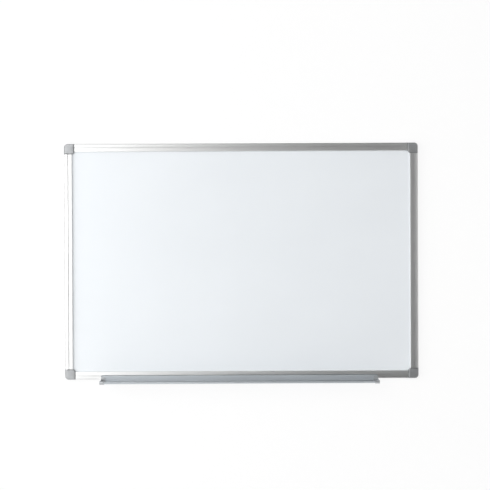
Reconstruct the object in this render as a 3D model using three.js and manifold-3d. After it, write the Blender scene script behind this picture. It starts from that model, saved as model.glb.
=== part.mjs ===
// A wall whiteboard of 900 by 600 mm: a lacquered steel face on a light core, held in four lengths of one aluminium
// rail, with a moulded bracket and a press-on cover at each corner and a pen tray that slides along the bottom rail.
// Millimetres. +X is to the right as the board is read, +Z is up and -Y faces the reader.
// The origin is the centre of the frame's outline, on the wall, so every depth is measured forward from the wall.
import * as THREE from "three";
import { mergeVertices } from "three/addons/utils/BufferGeometryUtils.js";
import Module from "manifold-3d";

const wasm = await Module();
wasm.setup();

// Overall frame
const frameWidth = 900;
const frameHeight = 600;

// Panel sandwich
const faceSheetThickness = 0.4;
const coreThickness = 9.1;
const backSheetThickness = 0.3;
const panelClearance = 0.3;

// Rail section: across is inward from the board's outer edge, forward is away from the wall
const railFace = 20;
const railWall = 1.2;
const railEdgeRadius = 4;
const railLipRadius = 1;
const railFaceDrop = 0.6;
const channelInset = 10;
const grooveOffset = 8.8;
const groovePocketDepth = 3;
const grooveMouthPlay = 0.9;

// Corner bracket
const cornerSize = 26;
const cornerRadius = 9;
const cornerInnerRadius = 7;
const bracketPlate = 1.5;
const bracketWall = 1.7;
const jointGap = 0.3;
const tongueLength = 28;
const tongueTaper = 1.2;
const tongueTaperLength = 3;
const tongueFloor = 1.5;
const mountHoleOffset = 7;
const mountHoleRadius = 3.1;
const mountSinkRadius = 4.8;
const mountSinkDepth = 1.8;
const mountBossWall = 2;

// Corner cover
const coverProud = 0.4;
const coverWall = 1.4;
const coverFillet = 2.5;
const postOffset = 20;
const postRadius = 1.6;
const postDepth = 4.2;
const postTaper = 0.6;
const notchWidth = 6;
const notchHeight = 1.2;

// Countersunk screws that hold the rails to the bracket tongues
const screwOffset = 15;
const screwHeadRadius = 2.6;
const screwShankRadius = 1.3;
const screwSink = 0.1;
const screwHeadDepth = 1.3;
const screwLength = 9;
const screwTipLength = 2;
const screwClearance = 0.25;
const recessWidth = 0.8;
const recessSpan = 2.8;
const recessDepth = 1.1;

// Pen tray section: up is measured from the frame's bottom edge
const trayEndSetback = 97.5;
const trayRestOffset = -6;
const trayWall = 1.5;
const trayGap = 0.3;
const trayDrop = 7;
const trayDepth = 52;
const trayLipHeight = 5.8;
const trayHookLip = 1.5;
const trayHookRadiusShare = 0.6;
const trayHeelRadius = 3;
const trayToeRadiusShare = 0.75;
const trayBeadRadius = 1.2;
const trayRibRadius = 0.7;
const trayRibCount = 3;
const trayRibSpacing = 12;
const trayRibSetback = 12;

// Tray end caps
const capEndWall = 2;
const capSleeve = 9;
const capSkin = 1.2;
const capClearance = 0.25;
const capRearDepth = 4.5;
const capSleeveTop = 7;
const capCheekHeight = 6.5;
const capThroatRadius = 6;
const capCornerRadius = 1.5;

// Overrun of every cutting tool past the face it enters
const overrun = 2;

// Facets of a full circle, of a small round, and of one rounded corner
const circleFacets = 24;
const smallFacets = 14;
const cornerFacets = 5;

const quarterTurn = Math.PI / 2;

// Depths forward from the wall that several pieces share
const channelBack = railWall;
const backSheetBack = channelBack + panelClearance;
const coreBack = backSheetBack + backSheetThickness;
const faceSheetBack = coreBack + coreThickness;
const panelFront = faceSheetBack + faceSheetThickness;
const channelFront = panelFront + panelClearance;
const grooveFloor = channelFront + railWall;
const grooveRoof = grooveFloor + groovePocketDepth;
const railDepth = grooveRoof + railWall;
const bracketFront = channelFront + bracketPlate;
const coverSeat = bracketFront + jointGap;
const coverTop = railDepth + coverProud;
const coverRoof = coverTop - coverWall;

// Places across a rail that several pieces share
const grooveInner = grooveOffset + trayWall + grooveMouthPlay;
const pocketOuter = grooveOffset - trayHookLip;
const chamberWidth = channelInset - railWall;
const chamberCentre = channelInset / 2;
const tongueNear = railWall + jointGap;
const tongueFar = chamberWidth - jointGap;
const tongueBack = railWall + jointGap;
const tongueFront = channelFront - jointGap;
const panelInset = channelInset + panelClearance;
const postHoleRadius = postRadius + jointGap;
const bossRadius = mountHoleRadius + mountBossWall;

const finishes = {
  lacquer: new THREE.MeshStandardMaterial({ color: 0xf1f6f7, roughness: 0.25, metalness: 0 }),
  core: new THREE.MeshStandardMaterial({ color: 0xc9b38c, roughness: 0.9, metalness: 0 }),
  galvanised: new THREE.MeshStandardMaterial({ color: 0xb4b8bb, roughness: 0.45, metalness: 0.9 }),
  aluminium: new THREE.MeshStandardMaterial({ color: 0xc3c6c8, roughness: 0.35, metalness: 1 }),
  plastic: new THREE.MeshStandardMaterial({ color: 0x9fa1a6, roughness: 0.55, metalness: 0 }),
  zinc: new THREE.MeshStandardMaterial({ color: 0xa9abac, roughness: 0.3, metalness: 1 }),
};

// Solids and geometry

function solidFrom(geometry) {
  geometry.deleteAttribute("normal");
  geometry.deleteAttribute("uv");
  const merged = mergeVertices(geometry);
  const mesh = new wasm.Mesh({
    numProp: 3,
    vertProperties: merged.attributes.position.array,
    triVerts: new Uint32Array(merged.index.array),
  });
  return new wasm.Manifold(mesh);
}

function geometryFrom(solid) {
  const mesh = solid.getMesh();
  const geometry = new THREE.BufferGeometry();
  geometry.setAttribute("position", new THREE.BufferAttribute(mesh.vertProperties, 3));
  geometry.setIndex(new THREE.BufferAttribute(mesh.triVerts, 1));
  geometry.computeVertexNormals();
  return geometry;
}

// Closed outline through corner points, each with its own rounding radius.
function roundedOutline(corners) {
  const points = [];
  corners.forEach(([x, y, radius], i) => {
    const at = new THREE.Vector2(x, y);
    if (!radius) {
      points.push(at);
      return;
    }
    const [beforeX, beforeY] = corners.at(i - 1);
    const [afterX, afterY] = corners[(i + 1) % corners.length];
    const back = new THREE.Vector2(beforeX, beforeY).sub(at).normalize();
    const on = new THREE.Vector2(afterX, afterY).sub(at).normalize();
    const half = Math.acos(THREE.MathUtils.clamp(back.dot(on), -1, 1)) / 2;
    const centre = at.clone().addScaledVector(back.clone().add(on).normalize(), radius / Math.sin(half));
    const start = at.clone().addScaledVector(back, radius / Math.tan(half)).sub(centre);
    const turn = (Math.PI - 2 * half) * Math.sign(on.cross(back));
    for (let k = 0; k <= cornerFacets; k++) {
      points.push(start.clone().rotateAround(new THREE.Vector2(), (turn * k) / cornerFacets).add(centre));
    }
  });
  return points;
}

function circleOutline(x, y, radius, facets) {
  const path = new THREE.Path().absarc(x, y, radius, 0, 2 * Math.PI, false);
  return path.getSpacedPoints(facets).slice(0, facets);
}

// Outline of an even wall along a run of straight stretches joined by round bends.
function wallOutline(run, thickness) {
  const left = [];
  const right = [];
  const place = (point, heading) => {
    const normal = new THREE.Vector2(-heading.y, heading.x).multiplyScalar(thickness / 2);
    left.push(point.clone().add(normal));
    right.push(point.clone().sub(normal));
  };
  run.forEach(([x, y, radius], i) => {
    const at = new THREE.Vector2(x, y);
    const inward = i > 0 ? at.clone().sub(new THREE.Vector2(...run[i - 1])).normalize() : null;
    const outward = i < run.length - 1 ? new THREE.Vector2(...run[i + 1]).sub(at).normalize() : null;
    if (!inward || !outward) {
      place(at, inward ?? outward);
      return;
    }
    const turn = Math.atan2(inward.cross(outward), inward.dot(outward));
    const side = Math.sign(turn);
    const start = at.clone().addScaledVector(inward, -radius * Math.tan(Math.abs(turn) / 2));
    const centre = start.clone().add(new THREE.Vector2(-inward.y, inward.x).multiplyScalar(radius * side));
    for (let k = 0; k <= cornerFacets; k++) {
      const angle = (turn * k) / cornerFacets;
      const heading = inward.clone().rotateAround(new THREE.Vector2(), angle);
      place(start.clone().rotateAround(centre, angle), heading);
    }
  });
  return left.concat(right.reverse());
}

function extruded(outline, holes, depth, bevel = {}) {
  const shape = new THREE.Shape(outline);
  shape.holes = holes.map((hole) => new THREE.Path(hole));
  return new THREE.ExtrudeGeometry(shape, { depth, bevelEnabled: false, ...bevel });
}

// Section in (across, forward) or (up, forward), run along X from one end to the other.
function along(outline, from, to, holes = []) {
  const geometry = extruded(outline, holes, to - from);
  const acrossToZ = new THREE.Vector3(0, 0, 1);
  const forwardToFront = new THREE.Vector3(0, -1, 0);
  const depthToX = new THREE.Vector3(1, 0, 0);
  geometry.applyMatrix4(new THREE.Matrix4().makeBasis(acrossToZ, forwardToFront, depthToX));
  return geometry.translate(from, 0, 0);
}

// Plan outline in (x, z), raised from one depth forward of the wall to another.
function raised(outline, from, to, holes = [], bevel = {}) {
  const geometry = extruded(outline, holes, to - from, bevel);
  return geometry.rotateX(quarterTurn).translate(0, -from, 0);
}

// Box between two corners, its depth given forward from the wall.
function block(x0, x1, from, to, z0, z1) {
  const geometry = new THREE.BoxGeometry(x1 - x0, to - from, z1 - z0);
  return geometry.translate((x0 + x1) / 2, -(from + to) / 2, (z0 + z1) / 2);
}

// Turned form on an axis that points forward, from a profile of [radius, forward] stations that starts and ends on it.
function turned(stations, x, z, facets) {
  const profile = stations.map(([radius, forward]) => new THREE.Vector2(radius, forward));
  const geometry = new THREE.LatheGeometry(profile, facets);
  return geometry.rotateX(2 * quarterTurn).translate(x, 0, z);
}

function part(name, geometry, material) {
  const mesh = new THREE.Mesh(geometry, material);
  mesh.name = name;
  return mesh;
}

// Panel

function panelSheet(name, from, to, material) {
  const halfWidth = frameWidth / 2 - panelInset;
  const halfHeight = frameHeight / 2 - panelInset;
  return part(name, block(-halfWidth, halfWidth, from, to, -halfHeight, halfHeight), material);
}

function makePanel() {
  const panel = new THREE.Group();
  panel.add(panelSheet("writing_sheet", faceSheetBack, panelFront, finishes.lacquer));
  panel.add(panelSheet("core_board", coreBack, faceSheetBack, finishes.core));
  panel.add(panelSheet("back_sheet", backSheetBack, coreBack, finishes.galvanised));
  return panel;
}

// Rails

const faceTip = railDepth - railFaceDrop;

function railOutline() {
  return roundedOutline([
    [0, 0],
    [railFace, 0],
    [railFace, railWall],
    [channelInset, railWall],
    [channelInset, channelFront],
    [grooveInner + railWall, channelFront],
    [grooveInner + railWall, railDepth - railWall - railWall * (railFaceDrop / (railFace - grooveInner))],
    [railFace - railWall, faceTip - railWall],
    [railFace - railWall, channelFront],
    [railFace, channelFront],
    [railFace, faceTip, railLipRadius],
    [grooveInner, railDepth],
    [grooveInner, grooveFloor],
    [pocketOuter, grooveFloor],
    [pocketOuter, grooveRoof],
    [grooveOffset, grooveRoof],
    [grooveOffset, railDepth],
    [0, railDepth, railEdgeRadius],
  ]);
}

function chamberOutline() {
  const wallOfPocket = pocketOuter - railWall;
  return roundedOutline([
    [railWall, railWall],
    [chamberWidth, railWall],
    [chamberWidth, channelFront],
    [wallOfPocket, channelFront],
    [wallOfPocket, grooveRoof],
    [railWall, grooveRoof, railEdgeRadius - railWall],
  ]);
}

// Countersunk hole in the rail's rear wall, on the screw's own cone and shank with a clearance all round.
function railScrewHole(x) {
  const shankHole = screwShankRadius + screwClearance;
  const headHole = screwHeadRadius + screwClearance;
  const coneEnd = screwSink + screwHeadDepth;
  const stations = [
    [0, -overrun],
    [headHole, -overrun],
    [headHole, screwSink],
    [shankHole, coneEnd],
    [shankHole, coneEnd + overrun],
    [0, coneEnd + overrun],
  ];
  return turned(stations, x, chamberCentre, smallFacets);
}

function railGeometry(sideLength) {
  const halfLength = sideLength / 2 - cornerSize - jointGap;
  const screwX = sideLength / 2 - cornerSize - screwOffset;
  let rail = solidFrom(along(railOutline(), -halfLength, halfLength, [chamberOutline()]));
  for (const x of [-screwX, screwX]) {
    rail = rail.subtract(solidFrom(railScrewHole(x)));
  }
  return geometryFrom(rail);
}

// Screws

function screwGeometry(x) {
  const headFront = screwSink + screwHeadDepth;
  const tip = screwSink + screwLength;
  const stations = [
    [0, screwSink],
    [screwHeadRadius, screwSink],
    [screwShankRadius, headFront],
    [screwShankRadius, tip - screwTipLength],
    [0, tip],
  ];
  const body = solidFrom(turned(stations, x, chamberCentre, smallFacets));
  const from = screwSink - overrun;
  const to = screwSink + recessDepth;
  const [wide, thin] = [recessSpan / 2, recessWidth / 2];
  const slot = block(x - wide, x + wide, from, to, chamberCentre - thin, chamberCentre + thin);
  const cross = block(x - thin, x + thin, from, to, chamberCentre - wide, chamberCentre + wide);
  return geometryFrom(body.subtract(solidFrom(slot)).subtract(solidFrom(cross)));
}

// Corner bracket, drawn for the corner at the origin of its own frame with its two arms along +X and +Z

function cornerOutline(inset) {
  const far = cornerSize - inset;
  return roundedOutline([
    [inset, inset, cornerRadius - inset],
    [far, inset],
    [far, far, cornerInnerRadius - inset],
    [inset, far],
  ]);
}

function tongueOutline() {
  const tip = cornerSize + tongueLength;
  const shoulder = tip - tongueTaperLength;
  const root = cornerSize - bracketWall;
  return [
    new THREE.Vector2(root, tongueNear),
    new THREE.Vector2(shoulder, tongueNear),
    new THREE.Vector2(tip, tongueNear + tongueTaper),
    new THREE.Vector2(tip, tongueFar - tongueTaper),
    new THREE.Vector2(shoulder, tongueFar),
    new THREE.Vector2(root, tongueFar),
  ];
}

// Moulding cores of the tongue, open to the front, either side of the solid block that takes the screw.
function tongueCores() {
  const screwX = cornerSize + screwOffset;
  const solidHalf = screwShankRadius + screwClearance + bracketWall;
  const spans = [
    [cornerSize + bracketWall, screwX - solidHalf],
    [screwX + solidHalf, cornerSize + tongueLength - tongueTaperLength - bracketWall],
  ];
  const near = tongueNear + bracketWall;
  const far = tongueFar - bracketWall;
  const floor = tongueBack + tongueFloor;
  return spans.map(([x0, x1]) => block(x0, x1, floor, tongueFront + overrun, near, far));
}

function pilotHole() {
  const radius = screwShankRadius + screwClearance;
  const end = screwSink + screwLength + screwClearance;
  const outline = circleOutline(cornerSize + screwOffset, chamberCentre, radius, smallFacets);
  return raised(outline, 0, end);
}

function bracketArm() {
  let arm = solidFrom(raised(tongueOutline(), tongueBack, tongueFront));
  for (const core of tongueCores()) {
    arm = arm.subtract(solidFrom(core));
  }
  return arm.subtract(solidFrom(pilotHole()));
}

// The arm along Z is the arm along X turned over the corner's diagonal.
function mirroredOverDiagonal(solid) {
  const swap = new THREE.Matrix4().makeBasis(
    new THREE.Vector3(0, 0, 1),
    new THREE.Vector3(0, 1, 0),
    new THREE.Vector3(1, 0, 0),
  );
  return solid.transform(swap.toArray());
}

// Cores of the corner block between the screw boss and the socket of each cover post.
function blockCore() {
  const from = mountHoleOffset + bossRadius;
  const to = postOffset - postHoleRadius - bracketWall;
  const wall = bracketWall;
  return block(from, to, railWall, bracketFront + overrun, wall, channelInset - wall);
}

function mountHole() {
  const stations = [
    [0, -overrun],
    [mountHoleRadius, -overrun],
    [mountHoleRadius, bracketFront - mountSinkDepth],
    [mountSinkRadius, bracketFront],
    [mountSinkRadius, bracketFront + overrun],
    [0, bracketFront + overrun],
  ];
  return turned(stations, mountHoleOffset, mountHoleOffset, circleFacets);
}

function postHole() {
  const outline = circleOutline(postOffset, chamberCentre, postHoleRadius, smallFacets);
  return raised(outline, bracketFront - postDepth - jointGap, bracketFront + overrun);
}

function bracketGeometry() {
  const open = cornerSize + overrun;
  const slot = block(channelInset, open, railWall, channelFront, channelInset, open);
  let body = solidFrom(raised(cornerOutline(0), 0, bracketFront)).subtract(solidFrom(slot));
  for (const cut of [solidFrom(blockCore()), solidFrom(postHole())]) {
    body = body.subtract(cut).subtract(mirroredOverDiagonal(cut));
  }
  body = body.subtract(solidFrom(mountHole()));
  const arm = bracketArm();
  return geometryFrom(body.add(arm).add(mirroredOverDiagonal(arm)));
}

// Corner cover: a filleted shell with two posts that press into the bracket

function coverPost() {
  const tip = bracketFront - postDepth;
  const stations = [
    [0, tip],
    [postRadius - postTaper, tip],
    [postRadius, tip + postTaper],
    [postRadius, coverTop - coverWall / 2],
    [0, coverTop - coverWall / 2],
  ];
  return turned(stations, postOffset, chamberCentre, smallFacets);
}

function coverGeometry() {
  const bevel = {
    bevelEnabled: true,
    bevelThickness: coverFillet,
    bevelSize: coverFillet,
    bevelOffset: -coverFillet,
    bevelSegments: cornerFacets - 1,
  };
  const hidden = coverSeat - coverFillet;
  const pebble = solidFrom(raised(cornerOutline(0), hidden, coverTop - coverFillet, [], bevel));
  const below = solidFrom(block(-overrun, cornerSize + overrun, 0, coverSeat, -overrun, cornerSize + overrun));
  const cavity = solidFrom(raised(cornerOutline(coverWall), 0, coverRoof));
  const middle = cornerSize / 2;
  const [low, high] = [middle - notchWidth / 2, middle + notchWidth / 2];
  const notch = solidFrom(block(-overrun, coverWall * 2, 0, coverSeat + notchHeight, low, high));
  const post = solidFrom(coverPost());
  const shell = pebble.subtract(below).subtract(cavity).subtract(notch);
  return geometryFrom(shell.add(post).add(mirroredOverDiagonal(post)));
}

// Pen tray and its end caps

const frameBottom = -frameHeight / 2;
const trayLength = frameWidth - 2 * trayEndSetback;
const trayRear = railDepth + trayGap;
const plateCentre = trayRear + trayWall / 2;
const shelfCentre = -trayDrop + trayWall / 2;
const trayToe = trayRear + trayDepth;
const toeCentre = trayToe - trayWall / 2;
const lipTop = -trayDrop + trayLipHeight;
const hookArm = grooveOffset + trayGap + trayWall / 2;
const hookTip = grooveRoof - trayGap - trayWall / 2;
const trayHookRadius = trayWall * trayHookRadiusShare;
const trayToeRadius = (trayLipHeight - trayBeadRadius) * trayToeRadiusShare;

// Centreline of the tray's wall from the lip's top, under the shelf and up the plate to a given height.
function trayRun(plateTop) {
  return [
    [lipTop - trayBeadRadius, toeCentre],
    [shelfCentre, toeCentre, trayToeRadius],
    [shelfCentre, plateCentre, trayHeelRadius],
    [plateTop, plateCentre],
  ];
}

// The same wall taken on at the top over the hook that hangs in the rail's groove.
function hookedRun() {
  return [
    ...trayRun(hookArm).slice(0, -1),
    [hookArm, plateCentre, trayHookRadius],
    [hookArm, hookTip, trayHookRadius],
    [hookArm - trayWall / 2 - trayHookLip, hookTip],
  ];
}

// A run of wall with the lip's bead and the shelf's ribs, all grown by the same amount.
function trayForm(run, growth, ribGrowth, from, to) {
  const bead = circleOutline(lipTop - trayBeadRadius, toeCentre, trayBeadRadius + growth, smallFacets);
  let form = solidFrom(along(wallOutline(run, trayWall + 2 * growth), from, to));
  form = form.add(solidFrom(along(bead, from, to)));
  for (let i = 0; i < trayRibCount; i++) {
    const forward = trayToe - trayRibSetback - i * trayRibSpacing;
    const rib = circleOutline(shelfCentre + trayWall / 2, forward, trayRibRadius + ribGrowth, smallFacets);
    form = form.add(solidFrom(along(rib, from, to)));
  }
  return form;
}

function trayGeometry() {
  const half = trayLength / 2 - capEndWall - capClearance;
  return geometryFrom(trayForm(hookedRun(), 0, 0, -half, half));
}

// Side view of a cap's end wall: high against the plate, low over the shelf, and up again behind the lip.
function cheekOutline() {
  const skin = capClearance + capSkin;
  const bottom = -trayDrop - skin;
  const front = trayToe + skin;
  const cheekTop = -trayDrop + capCheekHeight;
  const lipFace = toeCentre - trayBeadRadius - skin;
  return roundedOutline([
    [bottom, trayRear, capCornerRadius],
    [bottom, front, trayToeRadius + trayWall / 2 + skin],
    [lipTop + skin, front, capCornerRadius],
    [lipTop + skin, lipFace, capCornerRadius],
    [cheekTop, lipFace - capCornerRadius, capCornerRadius],
    [cheekTop, trayRear + capRearDepth, capThroatRadius],
    [hookArm, trayRear + capRearDepth, capCornerRadius],
    [hookArm, trayRear],
  ]);
}

// A cap's end wall and the sleeve that grips the tray's wall from both sides; side is -1 for left and 1 for right.
function capGeometry(side) {
  const end = (side * trayLength) / 2;
  const wallInner = end - side * capEndWall;
  const sleeveInner = wallInner - side * capSleeve;
  const gapInner = sleeveInner - side * overrun;
  const span = (a, b) => [Math.min(a, b), Math.max(a, b)];
  const skin = capClearance + capSkin;
  const endWall = solidFrom(along(cheekOutline(), ...span(end, wallInner)));
  const sleeve = trayForm(trayRun(capSleeveTop), skin, 0, ...span(wallInner, sleeveInner));
  const gap = trayForm(trayRun(frameHeight), capClearance, capClearance, ...span(wallInner, gapInner));
  const [low, high] = span(end + side * overrun, gapInner);
  const behind = solidFrom(block(low, high, 0, trayRear, -frameHeight, frameHeight));
  return geometryFrom(endWall.add(sleeve).subtract(gap).subtract(behind));
}

function makeTray() {
  const tray = new THREE.Group();
  tray.position.set(trayRestOffset, 0, frameBottom);
  tray.add(part("pen_tray", trayGeometry(), finishes.aluminium));
  tray.add(part("tray_cap_left", capGeometry(-1), finishes.plastic));
  tray.add(part("tray_cap_right", capGeometry(1), finishes.plastic));
  return tray;
}

// Assembly: each side of the frame is drawn as a bottom side and turned into place

function makeSide(name, length, x, z, turns) {
  const side = new THREE.Group();
  side.position.set(x, 0, z);
  side.rotation.y = turns * quarterTurn;
  side.add(part(`rail_${name}`, railGeometry(length), finishes.aluminium));
  const screwX = length / 2 - cornerSize - screwOffset;
  side.add(part(`rail_screw_${name}_a`, screwGeometry(-screwX), finishes.zinc));
  side.add(part(`rail_screw_${name}_b`, screwGeometry(screwX), finishes.zinc));
  return side;
}

function makeCorner(name, x, z, turns) {
  const corner = new THREE.Group();
  corner.position.set(x, 0, z);
  corner.rotation.y = turns * quarterTurn;
  corner.add(part(`corner_bracket_${name}`, bracketGeometry(), finishes.plastic));
  corner.add(part(`corner_cover_${name}`, coverGeometry(), finishes.plastic));
  return corner;
}

const right = frameWidth / 2;
const top = frameHeight / 2;

const whiteboard = new THREE.Group();
whiteboard.add(makePanel());
whiteboard.add(makeSide("bottom", frameWidth, 0, -top, 0));
whiteboard.add(makeSide("right", frameHeight, right, 0, -1));
whiteboard.add(makeSide("top", frameWidth, 0, top, 2));
whiteboard.add(makeSide("left", frameHeight, -right, 0, 1));
whiteboard.add(makeCorner("bottom_left", -right, -top, 0));
whiteboard.add(makeCorner("bottom_right", right, -top, -1));
whiteboard.add(makeCorner("top_right", right, top, 2));
whiteboard.add(makeCorner("top_left", -right, top, 1));
whiteboard.add(makeTray());

export default whiteboard;
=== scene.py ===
import math

import bmesh
import bpy
from mathutils import Matrix, Vector


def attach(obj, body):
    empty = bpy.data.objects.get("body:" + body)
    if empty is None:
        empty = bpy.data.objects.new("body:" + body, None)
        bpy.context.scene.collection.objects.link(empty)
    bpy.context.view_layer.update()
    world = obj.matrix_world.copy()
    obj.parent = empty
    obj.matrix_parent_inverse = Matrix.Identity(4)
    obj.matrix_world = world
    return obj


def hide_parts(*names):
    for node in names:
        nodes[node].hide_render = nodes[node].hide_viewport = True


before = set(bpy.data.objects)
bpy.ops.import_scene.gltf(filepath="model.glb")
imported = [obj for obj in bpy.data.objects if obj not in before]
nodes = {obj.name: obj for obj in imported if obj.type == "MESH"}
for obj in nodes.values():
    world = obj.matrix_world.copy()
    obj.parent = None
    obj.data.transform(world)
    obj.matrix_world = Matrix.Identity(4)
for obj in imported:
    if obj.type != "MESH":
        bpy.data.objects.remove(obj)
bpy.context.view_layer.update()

MM = 0.001
scene = bpy.context.scene
scene.view_settings.view_transform = "Standard"


# Camera: 4 m in front of the wall, just above the board's middle, as the photo's corners and tray place it.
# Its place is in metres, its lens in millimetres and its angles in degrees.

SENSOR_WIDTH = 36
CAMERA_PLACE = (0.0095, -4.0, 0.0762)
CAMERA_LENS = 115
CAMERA_PITCH = -0.504
CAMERA_ROLL = 0.264
CAMERA_NEAR, CAMERA_FAR = 0.05, 60
LEVEL_AHEAD = 90


def make_camera():
    data = bpy.data.cameras.new("camera")
    data.sensor_width = SENSOR_WIDTH
    data.lens = CAMERA_LENS
    data.clip_start = CAMERA_NEAR
    data.clip_end = CAMERA_FAR
    camera = bpy.data.objects.new("camera", data)
    camera.location = CAMERA_PLACE
    camera.rotation_euler = (math.radians(LEVEL_AHEAD + CAMERA_PITCH), math.radians(CAMERA_ROLL), 0)
    scene.collection.objects.link(camera)
    scene.camera = camera


make_camera()


# Material tools. A grain's size and a bump's depth are in metres, a stretch says how much of X, Y and Z it reads, and
# a span is the part of a noise that the finish runs across.

EVEN = (1, 1, 1)
WIDE_SPAN, NARROW_SPAN = (0.3, 0.7), (0.35, 0.65)
PLAIN_DETAIL, PLAIN_ROUGHNESS = 2.0, 0.5


class Nodes:
    """A material's node tree, with one short call for each node."""

    def __init__(self, name):
        self.material = bpy.data.materials.new(name)
        self.material.use_nodes = True
        self.tree = self.material.node_tree
        self.tree.nodes.clear()
        self.output = self.tree.nodes.new("ShaderNodeOutputMaterial")

    def add(self, kind, inputs=None, **settings):
        node = self.tree.nodes.new("ShaderNode" + kind)
        for key, value in settings.items():
            setattr(node, key, value)
        for key, value in (inputs or {}).items():
            self.feed(node.inputs[key], value)
        return node

    def feed(self, socket, value):
        if hasattr(value, "is_output"):
            self.tree.links.new(value, socket)
        else:
            socket.default_value = value

    def coordinates(self, scale=EVEN):
        place = self.add("TexCoord").outputs["Object"]
        return self.add("Mapping", {"Vector": place, "Scale": scale}).outputs["Vector"]

    def noise(self, vector, size, detail=PLAIN_DETAIL, roughness=PLAIN_ROUGHNESS):
        inputs = {"Vector": vector, "Scale": 1 / size, "Detail": detail, "Roughness": roughness}
        return self.add("TexNoise", inputs).outputs["Fac"]

    def ramp(self, value, low, high, out_low=0.0, out_high=1.0):
        inputs = {"Value": value, 1: low, 2: high, 3: out_low, 4: out_high}
        return self.add("MapRange", inputs).outputs["Result"]

    def blend(self, share, first, second):
        node = self.add("Mix", data_type="RGBA")
        self.feed(node.inputs[0], share)
        self.feed(node.inputs[6], first)
        self.feed(node.inputs[7], second)
        return node.outputs[2]

    def math(self, operation, first, second):
        return self.add("Math", {0: first, 1: second}, operation=operation).outputs["Value"]

    def bump(self, height, strength, distance):
        inputs = {"Height": height, "Strength": strength, "Distance": distance}
        return self.add("Bump", inputs).outputs["Normal"]

    def surface(self, shader):
        self.tree.links.new(shader, self.output.inputs["Surface"])
        return self.material

    def principled(self, inputs):
        return self.surface(self.add("BsdfPrincipled", inputs).outputs["BSDF"])


def grey(value):
    return (value, value, value, 1.0)


def colour(red, green, blue):
    return (red, green, blue, 1.0)


DIE_LINE, DIE_STRETCH, DIE_DETAIL, DIE_ROUGHNESS = 0.0006, (0.012, 1, 1), 3.0, 0.65
DIE_BUMP, DIE_DEPTH, DIE_GLOSS_CHANGE = 0.12, 0.00006, 0.03
BAR_CLOUD, BAR_STRETCH, BAR_CLOUD_SHARE = 0.03, (0.4, 1, 1), 0.3


def aluminium(name, low, high, roughness):
    """Satin anodised aluminium with the die's fine lines along the bar, which is drawn along its own X."""
    n = Nodes(name)
    lines = n.noise(n.coordinates(DIE_STRETCH), DIE_LINE, DIE_DETAIL, DIE_ROUGHNESS)
    cloud = n.noise(n.coordinates(BAR_STRETCH), BAR_CLOUD)
    tone = n.blend(n.ramp(lines, *WIDE_SPAN), low, high)
    tone = n.blend(n.ramp(cloud, *NARROW_SPAN, 0.0, BAR_CLOUD_SHARE), tone, low)
    return n.principled({
        "Base Color": tone,
        "Metallic": 1.0,
        "Roughness": n.ramp(lines, *WIDE_SPAN, roughness + DIE_GLOSS_CHANGE, roughness - DIE_GLOSS_CHANGE),
        "Normal": n.bump(lines, DIE_BUMP, DIE_DEPTH),
    })


LACQUER_LOW, LACQUER_HIGH = colour(0.838, 0.872, 0.902), colour(0.853, 0.887, 0.917)
LACQUER_RIPPLE, LACQUER_BUMP, LACQUER_DEPTH = 0.004, 0.06, 0.00004
LACQUER_CLOUD, LACQUER_STRETCH, LACQUER_GLOSS = 0.16, (0.6, 1, 1), (0.3, 0.34)
LACQUER_COAT, LACQUER_COAT_GLOSS = 0.25, 0.12


def lacquer():
    """White dry-wipe lacquer on steel, faintly rippled by the coating line."""
    n = Nodes("white_lacquer")
    ripple = n.noise(n.coordinates(), LACQUER_RIPPLE)
    cloud = n.noise(n.coordinates(LACQUER_STRETCH), LACQUER_CLOUD)
    return n.principled({
        "Base Color": n.blend(n.ramp(cloud, *WIDE_SPAN), LACQUER_LOW, LACQUER_HIGH),
        "Roughness": n.ramp(cloud, *WIDE_SPAN, *LACQUER_GLOSS),
        "Normal": n.bump(ripple, LACQUER_BUMP, LACQUER_DEPTH),
        "Coat Weight": LACQUER_COAT,
        "Coat Roughness": LACQUER_COAT_GLOSS,
    })


MOULD_GRAIN, MOULD_DETAIL, MOULD_ROUGHNESS, MOULD_CLOUD = 0.0007, 3.0, 0.7, 0.012
MOULD_BUMP, MOULD_DEPTH, MOULD_SMOOTHER, MOULD_ROUGHER = 0.25, 0.0001, 0.05, 0.06


def plastic(name, low, high, metallic, roughness):
    """Silver-grey moulded plastic with a fine spark-eroded grain."""
    n = Nodes(name)
    grain = n.noise(n.coordinates(), MOULD_GRAIN, MOULD_DETAIL, MOULD_ROUGHNESS)
    cloud = n.noise(n.coordinates(), MOULD_CLOUD)
    return n.principled({
        "Base Color": n.blend(n.ramp(cloud, *WIDE_SPAN), low, high),
        "Metallic": metallic,
        "Roughness": n.ramp(grain, *WIDE_SPAN, roughness - MOULD_SMOOTHER, roughness + MOULD_ROUGHER),
        "Normal": n.bump(grain, MOULD_BUMP, MOULD_DEPTH),
    })


ZINC_LOW, ZINC_HIGH = colour(0.56, 0.575, 0.585), colour(0.63, 0.64, 0.645)
SPANGLE, SPANGLE_DRIFT, SPANGLE_SHIFT, SPANGLE_GLOSS = 0.0055, 0.006, 0.003, (0.38, 0.46)
ROLLED_GRAIN, ROLLED_STRETCH, ROLLED_BUMP, ROLLED_DEPTH = 0.0008, (1, 1, 0.2), 0.15, 0.00005


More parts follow.
